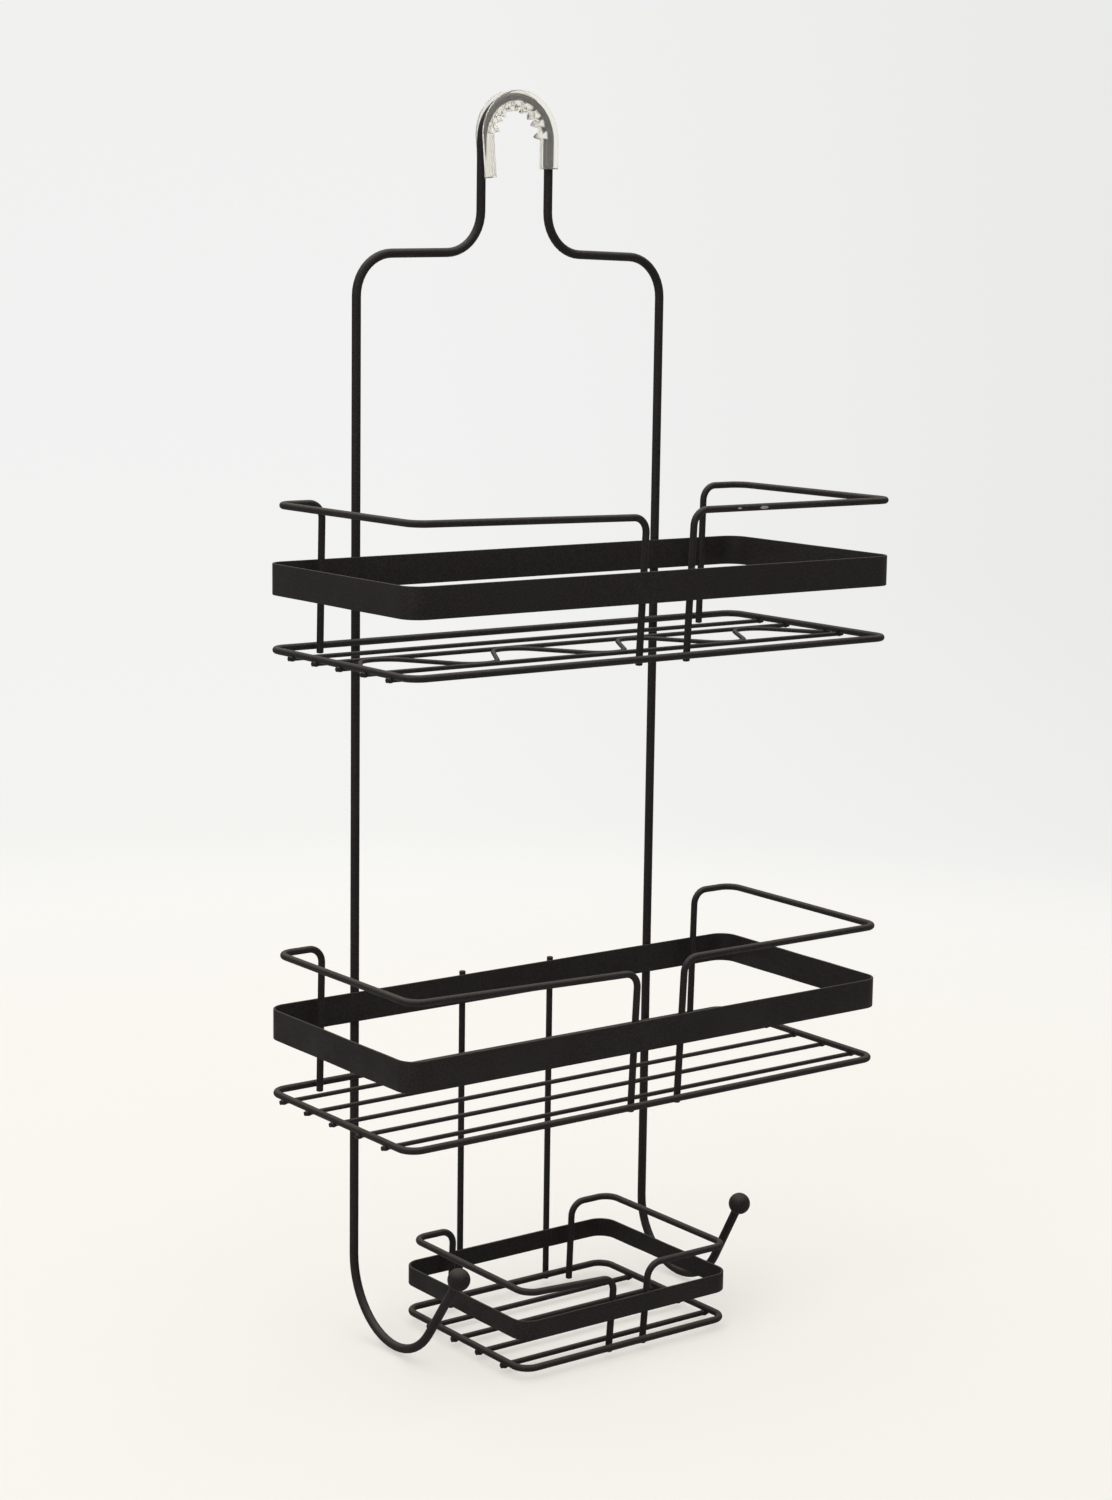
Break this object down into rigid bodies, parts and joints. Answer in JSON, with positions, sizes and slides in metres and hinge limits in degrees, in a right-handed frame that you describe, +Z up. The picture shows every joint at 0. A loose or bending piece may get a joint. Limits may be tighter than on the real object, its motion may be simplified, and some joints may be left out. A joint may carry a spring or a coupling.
{
  "type": "shower caddy",
  "caption": "Hanging wire shower caddy with an arched neck, stacked baskets with flat bands and guard rails, a soap dish below and ball-ended hooks.",
  "frame": {"origin": "the tip of the grip sleeve's top tooth, where the shower arm carries the caddy", "axes": "+Z up, -Y the front, away from the wall, +X to the right for someone facing the front; the frame rods lie in the plane Y = 0"},
  "size_m": [0.316, 0.1406, 0.6652],
  "materials": {
    "powder_coat": "matte fine-texture powder coat",
    "clear_vinyl": "clear soft vinyl"
  },
  "bodies": {
    "root": {"frame_wire": "powder_coat", "left_hook_ball": "powder_coat", "right_hook_ball": "powder_coat", "left_support_wire": "powder_coat", "right_support_wire": "powder_coat", "upper_ring": "powder_coat", "upper_band": "powder_coat", "upper_left_rail": "powder_coat", "upper_right_rail": "powder_coat", "upper_floor_wire_1": "powder_coat", "upper_floor_wire_2": "powder_coat", "upper_floor_wave_wire": "powder_coat", "upper_floor_wire_4": "powder_coat", "upper_floor_wire_5": "powder_coat", "lower_ring": "powder_coat", "lower_band": "powder_coat", "lower_left_rail": "powder_coat", "lower_right_rail": "powder_coat", "lower_floor_wire_1": "powder_coat", "lower_floor_wire_2": "powder_coat", "lower_floor_wire_3": "powder_coat", "lower_floor_wire_4": "powder_coat", "lower_floor_wire_5": "powder_coat", "soap_dish_ring": "powder_coat", "soap_dish_band": "powder_coat", "soap_dish_left_rail": "powder_coat", "soap_dish_right_rail": "powder_coat", "soap_dish_floor_wire_1": "powder_coat", "soap_dish_floor_wire_2": "powder_coat", "soap_dish_floor_wire_3": "powder_coat", "soap_dish_floor_wire_4": "powder_coat", "arm_grip_sleeve": "clear_vinyl"}
  },
  "joints": []
}
